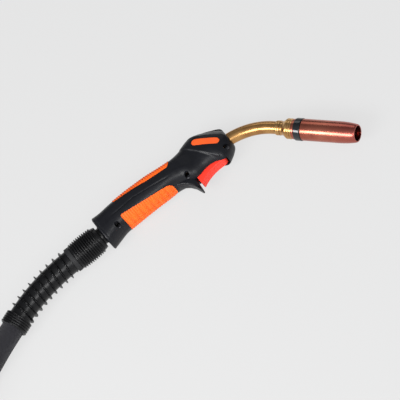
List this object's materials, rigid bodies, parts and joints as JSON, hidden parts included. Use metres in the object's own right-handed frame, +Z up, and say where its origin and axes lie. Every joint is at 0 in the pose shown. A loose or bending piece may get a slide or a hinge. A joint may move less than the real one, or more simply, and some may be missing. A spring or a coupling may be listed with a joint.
{
  "type": "mig welding torch",
  "caption": "Gas-cooled MIG welding torch: pistol handle with trigger, curved swan neck, gas nozzle, rear ball knuckle, bend relief and sheathed cable coiled with its central connector plug.",
  "frame": {"origin": "on the handle's left flat, the face it lies on, 100 mm in front of the handle's rear plane and on the knuckle's axis", "axes": "+X along the handle from the cable to the nozzle, +Y towards the handle's back (away from the trigger), +Z up from the surface that the torch lies on"},
  "size_m": [0.8406, 0.3597, 0.1068],
  "materials": {
    "handle_plastic": "black glass-filled moulded plastic, satin with a fine grain",
    "grip_rubber": "orange soft grip with fine cross ribs, matte",
    "label_plastic": "orange bare label plate, smooth satin",
    "trigger_plastic": "red-orange moulded trigger, satin",
    "switch_plastic": "black moulded inner part",
    "dark_steel": "blackened steel screw and pin",
    "lead_insulation": "insulated switch lead",
    "neck_brass": "polished brown-gold brass tube",
    "fitting_brass": "turned brass with fine tool marks",
    "liner_steel": "wound steel wire liner",
    "cable_rubber": "black cable jacket, matte",
    "nozzle_copper": "polished copper, a little darker towards the tip",
    "insulator_plastic": "glossy black phenolic insulator",
    "diffuser_ceramic": "cream glazed ceramic",
    "relief_rubber": "black moulded rubber, satin",
    "cable_textile": "charcoal woven protective sheath, matte",
    "tie_webbing": "black hook-and-loop webbing strap"
  },
  "bodies": {
    "handle": {"handle_shell_right": "handle_plastic", "handle_shell_left": "handle_plastic", "grip_pad_lower_right": "grip_rubber", "grip_pad_lower_left": "grip_rubber", "grip_pad_back_right": "grip_rubber", "grip_pad_back_left": "grip_rubber", "label_plate_right": "label_plastic", "label_plate_left": "label_plastic", "handle_screw_front": "dark_steel", "handle_screw_middle": "dark_steel", "handle_screw_rear": "dark_steel", "trigger_pivot_pin": "dark_steel", "microswitch_body": "switch_plastic", "trigger_lead_right": "lead_insulation", "trigger_lead_left": "lead_insulation", "swan_neck_tube": "neck_brass", "neck_clamp_block": "switch_plastic", "neck_nut": "fitting_brass", "cable_terminal": "fitting_brass", "neck_liner": "liner_steel", "handle_cable": "cable_rubber", "neck_collar": "fitting_brass", "neck_head": "fitting_brass", "nozzle_seat_ring": "nozzle_copper", "nozzle_insulator": "insulator_plastic", "tip_holder": "fitting_brass", "gas_diffuser": "diffuser_ceramic", "contact_tip": "nozzle_copper"},
    "trigger": {"trigger": "trigger_plastic"},
    "plunger": {"switch_plunger": "label_plastic"},
    "nozzle": {"gas_nozzle": "nozzle_copper"},
    "cable": {"knuckle_stub": "relief_rubber", "knuckle_barrel": "relief_rubber", "knuckle_band": "relief_rubber", "bend_relief": "relief_rubber", "cable_end_ring": "relief_rubber", "inner_cable": "cable_rubber", "cable_sheath": "cable_textile", "cable_coil": "cable_textile", "coil_tie": "tie_webbing", "cable_tail": "cable_textile", "plug_strain_relief": "relief_rubber", "plug_housing": "handle_plastic", "plug_body": "fitting_brass", "gas_nipple": "fitting_brass", "plug_pin_upper": "fitting_brass", "plug_pin_lower": "fitting_brass"},
    "plug_nut": {"plug_nut": "handle_plastic"}
  },
  "joints": [
    {"name": "trigger_squeeze", "type": "hinge", "parent": "handle", "child": "trigger", "pos_m": [0.0685, -0.0265, 0.019], "axis": [0, 0, -1], "range_deg": [0, 7], "stiffness_Nm_per_rad": 0.6, "springref_deg": -8.59},
    {"name": "switch_plunger_slide", "type": "slide", "parent": "handle", "child": "plunger", "axis": [0, 1, 0], "range_m": [0, 0.0016]},
    {"name": "nozzle_pull", "type": "slide", "parent": "handle", "child": "nozzle", "axis": [0.6428, -0.766, 0], "range_m": [0, 0.08]},
    {"name": "knuckle_bend", "type": "hinge", "parent": "handle", "child": "cable", "pos_m": [-0.092, 0, 0.019], "axis": [0, 0, 1], "range_deg": [-12, 12]},
    {"name": "plug_nut_spin", "type": "hinge", "parent": "cable", "child": "plug_nut", "pos_m": [-0.3631, 0.0325, 0.0818], "axis": [-0.1959, -0.9806, 0], "continuous": true}
  ],
  "couplings": [
    {"joint": "switch_plunger_slide", "follows": "trigger_squeeze", "m_per_rad": 0.0115}
  ]
}
